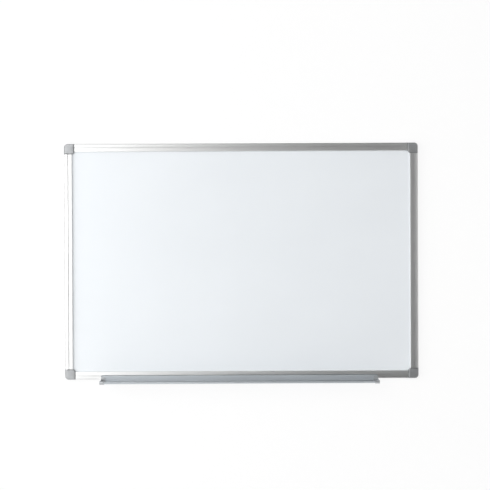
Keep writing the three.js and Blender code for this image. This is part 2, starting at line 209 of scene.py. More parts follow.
def galvanised():
    """Hot-dip zinc with its crystal spangle."""
    n = Nodes("galvanised_steel")
    place = n.coordinates()
    drift = n.math("MULTIPLY", n.noise(place, SPANGLE_DRIFT), SPANGLE_SHIFT)
    drift = n.add("CombineXYZ", {"X": drift}).outputs[0]
    shifted = n.add("VectorMath", {0: place, 1: drift}, operation="ADD").outputs["Vector"]
    cell = n.add("TexVoronoi", {"Vector": shifted, "Scale": 1 / SPANGLE}).outputs["Color"]
    level = n.add("SeparateColor", {"Color": cell}).outputs["Red"]
    grain = n.noise(n.coordinates(ROLLED_STRETCH), ROLLED_GRAIN)
    return n.principled({
        "Base Color": n.blend(level, ZINC_LOW, ZINC_HIGH),
        "Metallic": 1.0,
        "Roughness": n.ramp(level, 0.0, 1.0, *SPANGLE_GLOSS),
        "Normal": n.bump(grain, ROLLED_BUMP, ROLLED_DEPTH),
    })


FIBRE_DARK, FIBRE_PALE = colour(0.3, 0.2, 0.11), colour(0.47, 0.34, 0.2)
FIBRE_GRAIN, FIBRE_STRETCH, FIBRE_DETAIL, FIBRE_ROUGHNESS = 0.0012, (0.3, 1, 1), 4.0, 0.7
FIBRE_BUMP, FIBRE_DEPTH, FIBRE_GLOSS = 0.4, 0.0002, (0.85, 0.95)


def fibreboard():
    """Raw grey-brown fibreboard."""
    n = Nodes("fibreboard")
    fibre = n.noise(n.coordinates(FIBRE_STRETCH), FIBRE_GRAIN, FIBRE_DETAIL, FIBRE_ROUGHNESS)
    return n.principled({
        "Base Color": n.blend(n.ramp(fibre, *WIDE_SPAN), FIBRE_DARK, FIBRE_PALE),
        "Roughness": n.ramp(fibre, *WIDE_SPAN, *FIBRE_GLOSS),
        "Normal": n.bump(fibre, FIBRE_BUMP, FIBRE_DEPTH),
    })


PLATING_LOW, PLATING_HIGH = colour(0.58, 0.59, 0.57), colour(0.72, 0.72, 0.7)
PLATING_SPOT, PLATING_DETAIL, PLATING_ROUGHNESS = 0.0016, 3.0, 0.6
PLATING_BUMP, PLATING_DEPTH, PLATING_GLOSS = 0.1, 0.00004, (0.34, 0.26)


def zinc():
    """Bright zinc plating."""
    n = Nodes("zinc_plating")
    spots = n.noise(n.coordinates(), PLATING_SPOT, PLATING_DETAIL, PLATING_ROUGHNESS)
    return n.principled({
        "Base Color": n.blend(n.ramp(spots, *NARROW_SPAN), PLATING_LOW, PLATING_HIGH),
        "Metallic": 1.0,
        "Roughness": n.ramp(spots, *NARROW_SPAN, *PLATING_GLOSS),
        "Normal": n.bump(spots, PLATING_BUMP, PLATING_DEPTH),
    })


SILVER_LOW, SILVER_HIGH = colour(0.845, 0.85, 0.845), colour(0.925, 0.93, 0.93)
TRAY_LOW, TRAY_HIGH = colour(0.62, 0.657, 0.688), colour(0.69, 0.727, 0.758)
CORNER_LOW, CORNER_HIGH = colour(0.43, 0.44, 0.45), colour(0.47, 0.48, 0.49)
CAP_LOW, CAP_HIGH = colour(0.53, 0.545, 0.56), colour(0.59, 0.61, 0.625)
finish = {
    "rail": aluminium("anodised_rail", SILVER_LOW, SILVER_HIGH, roughness=0.33),
    "tray": aluminium("anodised_tray", TRAY_LOW, TRAY_HIGH, roughness=0.46),
    "corner_plastic": plastic("silver_moulding", CORNER_LOW, CORNER_HIGH, metallic=0.91, roughness=0.4),
    "cap_plastic": plastic("grey_moulding", CAP_LOW, CAP_HIGH, metallic=0.9, roughness=0.4),
    "screw": zinc(),
    "lacquered_face": lacquer(),
    "core": fibreboard(),
    "galvanised_back": galvanised(),
}


# Outline tools. An outline is a list of pairs in millimetres, and a third number rounds that corner.

ARC_STEP = math.radians(7.5)
LEAST_ARC_STEPS = 2


def corner_arc(before, here, after, radius):
    back, ahead = (before - here).normalized(), (after - here).normalized()
    half = back.angle(ahead) / 2
    reach = radius / math.tan(half)
    centre = here + (back + ahead).normalized() * (radius / math.sin(half))
    start, end = here + back * reach - centre, here + ahead * reach - centre
    turn = math.atan2(start.x * end.y - start.y * end.x, start.dot(end))
    count = max(LEAST_ARC_STEPS, round(abs(turn) / ARC_STEP))
    return [centre + Matrix.Rotation(turn * k / count, 2) @ start for k in range(count + 1)]


def rounded(points, closed=True):
    """The outline or path with its corners rounded."""
    out = []
    for i, point in enumerate(points):
        here = Vector(point[:2])
        inside = closed or 0 < i < len(points) - 1
        if inside and len(point) > 2 and point[2] > 0:
            after = points[(i + 1) % len(points)]
            out += corner_arc(Vector(points[i - 1][:2]), here, Vector(after[:2]), point[2])
        else:
            out.append(here)
    return out


def circle(centre, radius):
    count = math.ceil(2 * math.pi / ARC_STEP)
    angles = [2 * math.pi * k / count for k in range(count)]
    return [Vector(centre) + radius * Vector((math.cos(a), math.sin(a))) for a in angles]


def wall_outline(path, thickness):
    """A wall of even thickness along a path: its left side onwards, then its right side back."""
    left, right = [], []
    for i, here in enumerate(path):
        runs = [(b - a).normalized() for a, b in zip(path[max(i - 1, 0):i + 1], path[max(i - 1, 0) + 1:i + 2])]
        heading = sum(runs, Vector((0, 0))).normalized()
        normal = Vector((-heading.y, heading.x)) * (thickness / 2 / heading.dot(runs[0]))
        left.append(here + normal)
        right.append(here - normal)
    return left + right[::-1]


# Mesh tools. Forward is -Y, and every mesh is written in metres.

def from_across(pair, at):
    """A section's point, (across, forward), at a place along X."""
    return Vector((at, -pair[1], pair[0])) * MM


def from_plan(pair, at):
    """A plan's point, (x, z), at a depth forward."""
    return Vector((pair[0], -at, pair[1])) * MM


def ring(bm, points):
    return [bm.verts.new(p) for p in points]


def ring_edges(bm, verts):
    return [bm.edges.new((verts[i], verts[(i + 1) % len(verts)])) for i in range(len(verts))]


def bridge(bm, first, second):
    for i in range(len(first)):
        j = (i + 1) % len(first)
        bm.faces.new((first[i], first[j], second[j], second[i]))


def finished(bm):
    bmesh.ops.recalc_face_normals(bm, faces=bm.faces)
    mesh = bpy.data.meshes.new("mesh")
    bm.to_mesh(mesh)
    bm.free()
    return mesh


def extruded(loops, low, high, place=from_across):
    """A bar of the section that the first loop bounds and the others pierce."""
    bm = bmesh.new()
    ends = []
    for at in (low, high):
        rings = [ring(bm, [place(p, at) for p in loop]) for loop in loops]
        edges = [edge for verts in rings for edge in ring_edges(bm, verts)]
        bmesh.ops.triangle_fill(bm, edges=edges, use_beauty=True)
        ends.append(rings)
    for first, second in zip(*ends):
        bridge(bm, first, second)
    return finished(bm)


TURNED_SIDES = 32


def turned(stations, x, z):
    """A body of revolution about an axis along Y through (x, z); a station is (radius, forward)."""
    bm = bmesh.new()
    angles = [2 * math.pi * k / TURNED_SIDES for k in range(TURNED_SIDES)]
    last = None
    for radius, forward in stations:
        spots = [(x + radius * math.cos(a), z + radius * math.sin(a)) for a in angles] if radius > 0 else [(x, z)]
        verts = ring(bm, [from_plan(spot, forward) for spot in spots])
        if last and len(last) == len(verts):
            bridge(bm, last, verts)
        elif last:
            tip, rim = (last[0], verts) if len(last) == 1 else (verts[0], last)
            for k in range(TURNED_SIDES):
                bm.faces.new((tip, rim[k], rim[(k + 1) % TURNED_SIDES]))
        last = verts
    return finished(bm)


def box(x, forward, z):
    return extruded([[(x[0], z[0]), (x[1], z[0]), (x[1], z[1]), (x[0], z[1])]], *forward, from_plan)


def carved(mesh, steps):
    """The mesh joined with or cut by others, in order; a step is ("UNION" or "DIFFERENCE", mesh)."""
    obj = bpy.data.objects.new("blank", mesh)
    scene.collection.objects.link(obj)
    tools = []
    for operation, tool_mesh in steps:
        tool = bpy.data.objects.new("tool", tool_mesh)
        scene.collection.objects.link(tool)
        modifier = obj.modifiers.new("carve", "BOOLEAN")
        modifier.solver = "EXACT"
        modifier.operation = operation
        modifier.object = tool
        tools.append(tool)
    bpy.context.view_layer.update()
    result = bpy.data.meshes.new_from_object(obj.evaluated_get(bpy.context.evaluated_depsgraph_get()))
    for each in [obj] + tools:
        bpy.data.objects.remove(each)
    return result


def swapped(mesh):
    """A copy turned over the corner's diagonal, so that X and Z change places."""
    copy = mesh.copy()
    copy.transform(Matrix(((0, 0, 1, 0), (0, 1, 0, 0), (1, 0, 0, 0), (0, 0, 0, 1))))
    copy.flip_normals()
    return copy


SMOOTH_ANGLE = math.radians(32)
BEVEL_SEGMENTS = 2


def piece(name, mesh, matrix, body, slot, replaced, edge=0.0):
    """A finished piece: softened edges, shading split at the sharp ones, its finish, and the body that it rides on."""
    mesh = mesh.copy()
    mesh.name = name
    mesh.materials.clear()
    mesh.materials.append(finish[slot])
    obj = bpy.data.objects.new(name, mesh)
    obj.matrix_world = matrix
    scene.collection.objects.link(obj)
    if edge:
        bevel = obj.modifiers.new("edge", "BEVEL")
        bevel.width = edge * MM
        bevel.segments = BEVEL_SEGMENTS
        bevel.limit_method = "ANGLE"
        bevel.angle_limit = SMOOTH_ANGLE
    mesh.shade_smooth()
    mesh.set_sharp_from_angle(angle=SMOOTH_ANGLE)
    weighted = obj.modifiers.new("shading", "WEIGHTED_NORMAL")
    weighted.keep_sharp = True
    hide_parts(*replaced)
    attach(obj, body)


# Sizes in millimetres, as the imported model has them. Only the rail's edge, lip and fall and the tray's toe follow the
# photo more closely. Depths are measured forward from the wall.

FRAME_WIDTH, FRAME_HEIGHT = 900, 600
RAIL_FACE, RAIL_WALL, RAIL_DEPTH = 20, 1.2, 17
RAIL_EDGE_WIDTH, RAIL_EDGE_DROP, RAIL_EDGE_STEPS = 2.2, 1.8, 10
RAIL_LIP_RADIUS, RAIL_FACE_DROP, RAIL_OUTER_DROP, RAIL_FACE_STEPS = 0.7, 0.12, 0.25, 6
CHAMBER_RADIUS = 2.8
CHANNEL_INSET, CHANNEL_FRONT = 10, 11.6
GROOVE_OUTER, GROOVE_INNER = 8.8, 11.2
GROOVE_FLOOR, GROOVE_ROOF, POCKET_OUTER = 12.8, 15.8, 7.3
CHAMBER_WIDTH, CHAMBER_CENTRE = 8.8, 5
CORNER_SIZE, CORNER_RADIUS, CORNER_INNER_RADIUS = 26, 9, 7
JOINT_GAP = 0.3
DEBURR = 0.25

half_width, half_height = FRAME_WIDTH / 2, FRAME_HEIGHT / 2


def placed(x, z, turns):
    """A side or corner turned into place from the bottom or bottom left."""
    return Matrix.Translation(Vector((x, 0, z)) * MM) @ Matrix.Rotation(turns * math.pi / 2, 4, "Y")


# Rails: one extruded section with the panel's channel, a hollow chamber and the hooked groove in its face.

def crowned_face():
    """The face between the lip and the groove, which falls away towards the panel."""
    shares = [1 - k / RAIL_FACE_STEPS for k in range(1, RAIL_FACE_STEPS)]
    width = RAIL_FACE - GROOVE_INNER
    return [(GROOVE_INNER + width * share, RAIL_DEPTH - RAIL_FACE_DROP * share ** 2) for share in shares]


def soft_edge():
    """The face outside the groove, which falls away a little, and a quarter of an ellipse round to the side."""
    shares = [k / RAIL_FACE_STEPS for k in range(1, RAIL_FACE_STEPS)]
    width, low = GROOVE_OUTER - RAIL_EDGE_WIDTH, RAIL_DEPTH - RAIL_OUTER_DROP
    angles = [math.pi / 2 * k / RAIL_EDGE_STEPS for k in range(RAIL_EDGE_STEPS + 1)]
    face = [(GROOVE_OUTER - width * share, RAIL_DEPTH - RAIL_OUTER_DROP * share ** 2) for share in shares]
    return face + [(RAIL_EDGE_WIDTH * (1 - math.sin(a)), low - RAIL_EDGE_DROP * (1 - math.cos(a))) for a in angles]


def rail_section():
    """The outline and the hollow chamber, as pairs of (across from the outer edge, forward)."""
    face_tip = RAIL_DEPTH - RAIL_FACE_DROP
    under_face = RAIL_DEPTH - RAIL_WALL
    drop_share = RAIL_FACE_DROP / (RAIL_FACE - GROOVE_INNER)
    outline = rounded([
        (0, 0, DEBURR),
        (RAIL_FACE, 0, DEBURR),
        (RAIL_FACE, RAIL_WALL, DEBURR),
        (CHANNEL_INSET, RAIL_WALL, DEBURR),
        (CHANNEL_INSET, CHANNEL_FRONT, DEBURR),
        (GROOVE_INNER + RAIL_WALL, CHANNEL_FRONT, DEBURR),
        (GROOVE_INNER + RAIL_WALL, under_face - RAIL_WALL * drop_share, DEBURR),
        (RAIL_FACE - RAIL_WALL, face_tip - RAIL_WALL, DEBURR),
        (RAIL_FACE - RAIL_WALL, CHANNEL_FRONT, DEBURR),
        (RAIL_FACE, CHANNEL_FRONT, DEBURR),
        (RAIL_FACE, face_tip, RAIL_LIP_RADIUS),
        *crowned_face(),
        (GROOVE_INNER, RAIL_DEPTH, DEBURR),
        (GROOVE_INNER, GROOVE_FLOOR, DEBURR),
        (POCKET_OUTER, GROOVE_FLOOR, DEBURR),
        (POCKET_OUTER, GROOVE_ROOF, DEBURR),
        (GROOVE_OUTER, GROOVE_ROOF, DEBURR),
        (GROOVE_OUTER, RAIL_DEPTH, DEBURR),
        *soft_edge(),
    ])
    chamber = rounded([
        (RAIL_WALL, RAIL_WALL, DEBURR),
        (CHAMBER_WIDTH, RAIL_WALL, DEBURR),
        (CHAMBER_WIDTH, CHANNEL_FRONT, DEBURR),
        (POCKET_OUTER - RAIL_WALL, CHANNEL_FRONT, DEBURR),
        (POCKET_OUTER - RAIL_WALL, GROOVE_ROOF, DEBURR),
        (RAIL_WALL, GROOVE_ROOF, CHAMBER_RADIUS),
    ])
    return [outline, chamber]


SCREW_OFFSET, SCREW_SINK = 15, 0.1
SCREW_HEAD_RADIUS, SCREW_SHANK_RADIUS, SCREW_HEAD_DEPTH = 2.6, 1.3, 1.3
SCREW_LENGTH, SCREW_TIP, SCREW_RIM = 9, 2, 0.15
SCREW_POINT_WIDTH, SCREW_POINT_LENGTH = 0.5, 0.3
SCREW_CLEARANCE = 0.25
THREAD_PITCH, THREAD_HEIGHT = 0.9, 0.22
RECESS_WIDTH, RECESS_SPAN, RECESS_DEPTH = 0.8, 2.8, 1.1
OVERRUN = 2


def rail_mesh(side_length):
    """One side's rail between its corners, with the countersunk holes in its rear wall."""
    half = side_length / 2 - CORNER_SIZE - JOINT_GAP
    head_hole, shank_hole = SCREW_HEAD_RADIUS + SCREW_CLEARANCE, SCREW_SHANK_RADIUS + SCREW_CLEARANCE
    cone_end = SCREW_SINK + SCREW_HEAD_DEPTH
    stations = [(0, -OVERRUN), (head_hole, -OVERRUN), (head_hole, SCREW_SINK), (shank_hole, cone_end),
                (shank_hole, cone_end + OVERRUN), (0, cone_end + OVERRUN)]
    x = side_length / 2 - CORNER_SIZE - SCREW_OFFSET
    holes = [("DIFFERENCE", turned(stations, side * x, CHAMBER_CENTRE)) for side in (-1, 1)]
    return carved(extruded(rail_section(), -half, half), holes)


def screw_mesh():
    """A countersunk screw with a cross recess and a rolled thread, on the axis of its own frame."""
    head_front, tip = SCREW_SINK + SCREW_HEAD_DEPTH, SCREW_SINK + SCREW_LENGTH
    core = SCREW_SHANK_RADIUS - THREAD_HEIGHT
    stations = [(0, SCREW_SINK), (SCREW_HEAD_RADIUS - SCREW_RIM, SCREW_SINK),
                (SCREW_HEAD_RADIUS, SCREW_SINK + SCREW_RIM), (SCREW_SHANK_RADIUS, head_front)]
    at = head_front + THREAD_PITCH / 2
    while at < tip - SCREW_TIP:
        stations += [(core, at), (SCREW_SHANK_RADIUS, at + THREAD_PITCH / 2)]
        at += THREAD_PITCH
    stations += [(core, at), (core * SCREW_POINT_WIDTH, tip - SCREW_TIP * SCREW_POINT_LENGTH), (0, tip)]
    body = turned(stations, 0, 0)
    wide, thin = RECESS_SPAN / 2, RECESS_WIDTH / 2
    depth = (SCREW_SINK - OVERRUN, SCREW_SINK + RECESS_DEPTH)
    return carved(body, [("DIFFERENCE", box((-wide, wide), depth, (-thin, thin))),
                         ("DIFFERENCE", box((-thin, thin), depth, (-wide, wide)))])


def make_sides():
    across, upright = rail_mesh(FRAME_WIDTH), rail_mesh(FRAME_HEIGHT)
    screw = screw_mesh()
    sides = [("bottom", across, FRAME_WIDTH, 0, -half_height, 0), ("right", upright, FRAME_HEIGHT, half_width, 0, -1),
             ("top", across, FRAME_WIDTH, 0, half_height, 2), ("left", upright, FRAME_HEIGHT, -half_width, 0, 1)]
    for name, mesh, length, x, z, turns in sides:
        matrix = placed(x, z, turns)
        piece(f"extruded_rail_{name}", mesh, matrix, "board", "rail", [f"rail_{name}"])
        screw_x = length / 2 - CORNER_SIZE - SCREW_OFFSET
        for letter, at in (("a", -screw_x), ("b", screw_x)):
            spot = matrix @ Matrix.Translation(Vector((at, 0, CHAMBER_CENTRE)) * MM)
            piece(f"countersunk_screw_{name}_{letter}", screw, spot, "board", "screw", [f"rail_screw_{name}_{letter}"])


make_sides()


# Corner brackets and the covers that press onto them, drawn for the corner at their own origin.

BRACKET_PLATE, BRACKET_WALL = 1.5, 1.7
TONGUE_LENGTH, TONGUE_TAPER, TONGUE_TAPER_LENGTH, TONGUE_FLOOR = 28, 1.2, 3, 1.5
MOUNT_OFFSET, MOUNT_RADIUS, SINK_RADIUS, SINK_DEPTH, BOSS_WALL = 7, 3.1, 4.8, 1.8, 2
POST_OFFSET, POST_RADIUS, POST_DEPTH, POST_TAPER = 20, 1.6, 4.2, 0.6
COVER_PROUD, COVER_WALL, COVER_FILLET = 0.4, 1.4, 2.5
NOTCH_WIDTH, NOTCH_HEIGHT = 6, 1.2
BRACKET_FRONT = CHANNEL_FRONT + BRACKET_PLATE
COVER_SEAT = BRACKET_FRONT + JOINT_GAP
COVER_TOP = RAIL_DEPTH + COVER_PROUD
MOULDED_EDGE = 0.25
PLAIN_RADIUS, LEAST_RADIUS = 0.8, 0.3


def corner_outline(inset):
    """The plan that bracket and cover share: a round outer corner, a rounded inner one and two plain ones."""
    far = CORNER_SIZE - inset
    plain = max(PLAIN_RADIUS - inset, LEAST_RADIUS)
    return rounded([
        (inset, inset, CORNER_RADIUS - inset),
        (far, inset, plain),
        (far, far, CORNER_INNER_RADIUS - inset),
        (inset, far, plain),
    ])


def bracket_arm():
    """The tongue that goes into a rail's chamber, with two cored pockets and the screw's pilot hole."""
    tip = CORNER_SIZE + TONGUE_LENGTH
    shoulder, root = tip - TONGUE_TAPER_LENGTH, CORNER_SIZE - BRACKET_WALL
    near, far = RAIL_WALL + JOINT_GAP, CHAMBER_WIDTH - JOINT_GAP
    back, front = RAIL_WALL + JOINT_GAP, CHANNEL_FRONT - JOINT_GAP
    outline = [(root, near), (shoulder, near), (tip, near + TONGUE_TAPER),
               (tip, far - TONGUE_TAPER), (shoulder, far), (root, far)]
    hole = SCREW_SHANK_RADIUS + SCREW_CLEARANCE
    screw_x = CORNER_SIZE + SCREW_OFFSET
    solid_half = hole + BRACKET_WALL
    spans = [(CORNER_SIZE + BRACKET_WALL, screw_x - solid_half), (screw_x + solid_half, shoulder - BRACKET_WALL)]
    cores = [box(span, (back + TONGUE_FLOOR, front + OVERRUN), (near + BRACKET_WALL, far - BRACKET_WALL))
             for span in spans]
    end = SCREW_SINK + SCREW_LENGTH + SCREW_CLEARANCE
    pilot = turned([(0, 0), (hole, 0), (hole, end), (0, end)], screw_x, CHAMBER_CENTRE)
    return carved(extruded([outline], back, front, from_plan), [("DIFFERENCE", tool) for tool in cores + [pilot]])


def bracket_mesh():
    """The bracket: its block with the panel's slot, two sockets, two cores and the wall hole, and two tongues."""
    open_end = CORNER_SIZE + OVERRUN
    past = BRACKET_FRONT + OVERRUN
    slot = box((CHANNEL_INSET, open_end), (RAIL_WALL, CHANNEL_FRONT), (CHANNEL_INSET, open_end))
    post_hole = POST_RADIUS + JOINT_GAP
    core_from = MOUNT_OFFSET + MOUNT_RADIUS + BOSS_WALL
    core_to = POST_OFFSET - post_hole - BRACKET_WALL
    core = box((core_from, core_to), (RAIL_WALL, past), (BRACKET_WALL, CHANNEL_INSET - BRACKET_WALL))
    floor = BRACKET_FRONT - POST_DEPTH - JOINT_GAP
    socket = turned([(0, floor), (post_hole, floor), (post_hole, past), (0, past)], POST_OFFSET, CHAMBER_CENTRE)
    mount = turned([(0, -OVERRUN), (MOUNT_RADIUS, -OVERRUN), (MOUNT_RADIUS, BRACKET_FRONT - SINK_DEPTH),
                    (SINK_RADIUS, BRACKET_FRONT), (SINK_RADIUS, past), (0, past)], MOUNT_OFFSET, MOUNT_OFFSET)
    cuts = [slot, core, swapped(core), socket, swapped(socket), mount]
    arm = bracket_arm()
    block = extruded([corner_outline(0)], 0, BRACKET_FRONT, from_plan)
    return carved(block, [("DIFFERENCE", tool) for tool in cuts] + [("UNION", arm), ("UNION", swapped(arm))])


CROWN_DROP = 0.2
CROWN_RINGS = (0.8, 0.6, 0.4, 0.2)
FILLET_STEPS = 8
SEAT_GAP, ROOF_CHAMFER = 0.01, 0.6


def cover_shell():
    """The cover's moulded shell: a filleted edge, a slightly crowned face, and the cavity behind."""
    bm = bmesh.new()
    rim = COVER_TOP - CROWN_DROP
    rows = [(0, COVER_SEAT + SEAT_GAP)]
    for k in range(FILLET_STEPS + 1):
        angle = math.pi / 2 * k / FILLET_STEPS
        rows.append((COVER_FILLET * (1 - math.cos(angle)), rim - COVER_FILLET * (1 - math.sin(angle))))
    rings = [ring(bm, [from_plan(p, forward) for p in corner_outline(inset)]) for inset, forward in rows]
    last = corner_outline(COVER_FILLET)
    middle = Vector((CORNER_SIZE / 2, CORNER_SIZE / 2))
    for share in CROWN_RINGS:
        height = rim + CROWN_DROP * (1 - share * share)
        rings.append(ring(bm, [from_plan(middle + (p - middle) * share, height) for p in last]))
    for first, second in zip(rings, rings[1:]):
        bridge(bm, first, second)
    tip = bm.verts.new(from_plan(middle, COVER_TOP))
    top = rings[-1]
    for k in range(len(top)):
        bm.faces.new((top[k], top[(k + 1) % len(top)], tip))
    roof = COVER_TOP - COVER_WALL
    rows = ((COVER_WALL, COVER_SEAT + SEAT_GAP), (COVER_WALL, roof - ROOF_CHAMFER), (COVER_WALL + ROOF_CHAMFER, roof))
    inner = [ring(bm, [from_plan(p, forward) for p in corner_outline(inset)]) for inset, forward in rows]
    bridge(bm, inner[0], inner[1])
    bridge(bm, inner[1], inner[2])
    bridge(bm, rings[0], inner[0])
    bm.faces.new(inner[2])
    return finished(bm)


def cover_mesh():
    """The shell with its two posts and the notch to prise it off by."""
    tip = BRACKET_FRONT - POST_DEPTH
    root = COVER_TOP - COVER_WALL / 2
    post = turned([(0, tip), (POST_RADIUS - POST_TAPER, tip), (POST_RADIUS, tip + POST_TAPER),
                   (POST_RADIUS, root), (0, root)], POST_OFFSET, CHAMBER_CENTRE)
    middle = CORNER_SIZE / 2
    span = (middle - NOTCH_WIDTH / 2, middle + NOTCH_WIDTH / 2)
    notch = box((-OVERRUN, COVER_WALL * 2), (0, COVER_SEAT + NOTCH_HEIGHT), span)
    return carved(cover_shell(), [("DIFFERENCE", notch), ("UNION", post), ("UNION", swapped(post))])


def make_corners():
    bracket, cover = bracket_mesh(), cover_mesh()
    corners = [("bottom_left", -half_width, -half_height, 0), ("bottom_right", half_width, -half_height, -1),
               ("top_right", half_width, half_height, 2), ("top_left", -half_width, half_height, 1)]
    for name, x, z, turns in corners:
        matrix = placed(x, z, turns)
        piece(f"moulded_bracket_{name}", bracket, matrix, "board", "corner_plastic",
              [f"corner_bracket_{name}"], MOULDED_EDGE)
        piece(f"press_on_cover_{name}", cover, matrix, f"cover_{name}", "corner_plastic", [f"corner_cover_{name}"])


make_corners()


# Pen tray: one extruded wall bent into hook, plate, shelf and lip, with a moulded cap on each end.
# Up is measured from the frame's bottom edge.

TRAY_LENGTH, TRAY_X = 705, -6
TRAY_WALL, TRAY_GAP, TRAY_DROP, TRAY_DEPTH, TRAY_LIP = 1.5, 0.3, 7, 52, 5.8
HOOK_LIP, HOOK_RADIUS, HEEL_RADIUS, BEAD_RADIUS = 1.5, 0.9, 3, 1.2
RIB_RADIUS, RIB_COUNT, RIB_SPACING, RIB_SETBACK = 0.7, 3, 12, 12
TOE_RADIUS, CAP_TOE_RADIUS = 1.8, 2.3
TRAY_REAR = RAIL_DEPTH + TRAY_GAP
TRAY_TOE = TRAY_REAR + TRAY_DEPTH
PLATE_CENTRE, TOE_CENTRE = TRAY_REAR + TRAY_WALL / 2, TRAY_TOE - TRAY_WALL / 2
SHELF_CENTRE, LIP_TOP = -TRAY_DROP + TRAY_WALL / 2, -TRAY_DROP + TRAY_LIP
HOOK_ARM = GROOVE_OUTER + TRAY_GAP + TRAY_WALL / 2
HOOK_TIP = GROOVE_ROOF - TRAY_GAP - TRAY_WALL / 2
CAP_WALL, CAP_SLEEVE, CAP_SKIN, CAP_CLEARANCE = 2, 9, 1.2, 0.25
CAP_REAR_DEPTH, CAP_SLEEVE_TOP, CAP_CHEEK = 4.5, 7, 6.5
CAP_THROAT, CAP_CORNER, CAP_BEAD_TRIM = 6, 1.5, 0.08


def tray_run(plate_top, toe_radius=TOE_RADIUS):
    """Centreline of the tray's wall from the lip's top, under the shelf and up the plate."""
    return [(LIP_TOP - BEAD_RADIUS, TOE_CENTRE), (SHELF_CENTRE, TOE_CENTRE, toe_radius),
            (SHELF_CENTRE, PLATE_CENTRE, HEEL_RADIUS), (plate_top, PLATE_CENTRE)]


def hooked_run():
    """The same line taken on at the top over the hook that hangs in the rail's groove."""
    return tray_run(HOOK_ARM)[:-1] + [
        (HOOK_ARM, PLATE_CENTRE, HOOK_RADIUS), (HOOK_ARM, HOOK_TIP, HOOK_RADIUS),
        (HOOK_ARM - TRAY_WALL / 2 - HOOK_LIP, HOOK_TIP)]


def tray_form(run, growth, rib_growth, low, high, bead_trim=0):
    """A run of wall with the lip's bead and the shelf's ribs, all grown by the same amount."""
    bead = circle((LIP_TOP - BEAD_RADIUS, TOE_CENTRE), BEAD_RADIUS + growth - bead_trim)
    steps = [("UNION", extruded([bead], low, high))]
    for i in range(RIB_COUNT):
        centre = (SHELF_CENTRE + TRAY_WALL / 2, TRAY_TOE - RIB_SETBACK - i * RIB_SPACING)
        steps.append(("UNION", extruded([circle(centre, RIB_RADIUS + rib_growth)], low, high)))
    section = wall_outline(rounded(run, closed=False), TRAY_WALL + 2 * growth)
    return carved(extruded([section], low, high), steps)


def cheek_outline():
    """The cap's end wall, seen along the tray."""
    skin = CAP_CLEARANCE + CAP_SKIN
    bottom, front = -TRAY_DROP - skin, TRAY_TOE + skin
    cheek_top = -TRAY_DROP + CAP_CHEEK
    lip_face = TOE_CENTRE - BEAD_RADIUS - skin
    return rounded([
        (bottom, TRAY_REAR, CAP_CORNER),
        (bottom, front, CAP_TOE_RADIUS + TRAY_WALL / 2 + skin),
        (LIP_TOP + skin, front, CAP_CORNER),
        (LIP_TOP + skin, lip_face, CAP_CORNER),
        (cheek_top, lip_face - CAP_CORNER, CAP_CORNER),
        (cheek_top, TRAY_REAR + CAP_REAR_DEPTH, CAP_THROAT),
        (HOOK_ARM, TRAY_REAR + CAP_REAR_DEPTH, CAP_CORNER),
        (HOOK_ARM, TRAY_REAR, DEBURR),
    ])


def cap_mesh(side):
    """A cap: its end wall and a sleeve over the tray's end, open where the tray and the rail are."""
    skin = CAP_CLEARANCE + CAP_SKIN
    end = side * TRAY_LENGTH / 2
    wall_inner = end - side * CAP_WALL
    sleeve_inner = wall_inner - side * CAP_SLEEVE
    gap_inner = sleeve_inner - side * OVERRUN
    past = end + side * OVERRUN
    span = sorted((wall_inner, sleeve_inner))
    sleeve = tray_form(tray_run(CAP_SLEEVE_TOP, CAP_TOE_RADIUS), skin, 0, *span, CAP_BEAD_TRIM)
    gap = tray_form(tray_run(FRAME_HEIGHT), CAP_CLEARANCE, CAP_CLEARANCE, *sorted((wall_inner, gap_inner)))
    behind = [(-FRAME_HEIGHT, 0), (FRAME_HEIGHT, 0), (FRAME_HEIGHT, TRAY_REAR), (-FRAME_HEIGHT, TRAY_REAR)]
    rear = extruded([behind], *sorted((past, gap_inner)))
    end_wall = extruded([cheek_outline()], *sorted((end, wall_inner)))
    return carved(end_wall, [("UNION", sleeve), ("DIFFERENCE", gap), ("DIFFERENCE", rear)])


def make_tray():
    matrix = placed(TRAY_X, -half_height, 0)
    half = TRAY_LENGTH / 2 - CAP_WALL - CAP_CLEARANCE
    piece("extruded_pen_tray", tray_form(hooked_run(), 0, 0, -half, half), matrix, "tray", "tray", ["pen_tray"])
    for name, side in (("left", -1), ("right", 1)):
        piece(f"moulded_cap_{name}", cap_mesh(side), matrix, "tray", "cap_plastic", [f"tray_cap_{name}"], MOULDED_EDGE)


make_tray()


# Panel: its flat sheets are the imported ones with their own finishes.

PANEL_FINISH = {"writing_sheet": "lacquered_face", "core_board": "core", "back_sheet": "galvanised_back"}
for node_name, slot_name in PANEL_FINISH.items():
    sheet = nodes[node_name].data
    sheet.materials.clear()
    sheet.materials.append(finish[slot_name])


# Stage: a one-sided wall and floor, two soft lamps and dark cards, as in the photographer's studio. It is in metres.

WALL_Y = 0.0002
WALL_HALF = 5.0
FLOOR_Z = -1.3
HOLE_INSET = 0.004
WALL_TONE, FLOOR_TONE, TONE_CHANGE, SURFACE_GRAIN = 0.85, 0.8, 0.01, 0.01
WHITE_SHARE, WALL_WHITE, FLOOR_WHITE = 0.8, 1.04, 1.0
CARD_DARK, CARD_PALE = 0.016, 0.024
ROOM_LEVEL = 0.55
LAMP_TARGET = (-0.1, 0, 0)
KEY_PLACE, KEY_SIZE, KEY_POWER = (-2.75, -2.7, 0), (5.6, 5.6), 120
FILL_PLACE, FILL_SIZE, FILL_POWER = (-2.2, -2.0, 0), (3, 3), 23.3


